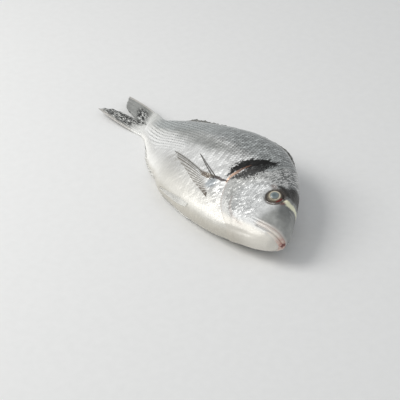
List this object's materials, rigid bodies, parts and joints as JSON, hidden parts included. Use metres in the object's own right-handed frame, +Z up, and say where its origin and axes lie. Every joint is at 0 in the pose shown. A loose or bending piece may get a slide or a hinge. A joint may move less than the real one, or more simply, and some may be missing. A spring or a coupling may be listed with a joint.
{
  "type": "raw whole sea bream",
  "caption": "Whole raw fish lying on its flank: deep oval silver body, blunt head with gill cover and bulging eye, folded back and belly fins, free pectoral fin and forked tail.",
  "frame": {"origin": "centre of the fish's outline seen from above, on the surface that it lies on", "axes": "+X towards the snout, +Y towards the back, +Z up, out of the right flank that faces up"},
  "size_m": [0.3668, 0.1297, 0.056],
  "materials": {
    "fish_skin": "wet silver fish skin, satin to glossy, grey-blue back and cream belly"
  },
  "bodies": {
    "root": {"sea_bream": "fish_skin"}
  },
  "joints": []
}
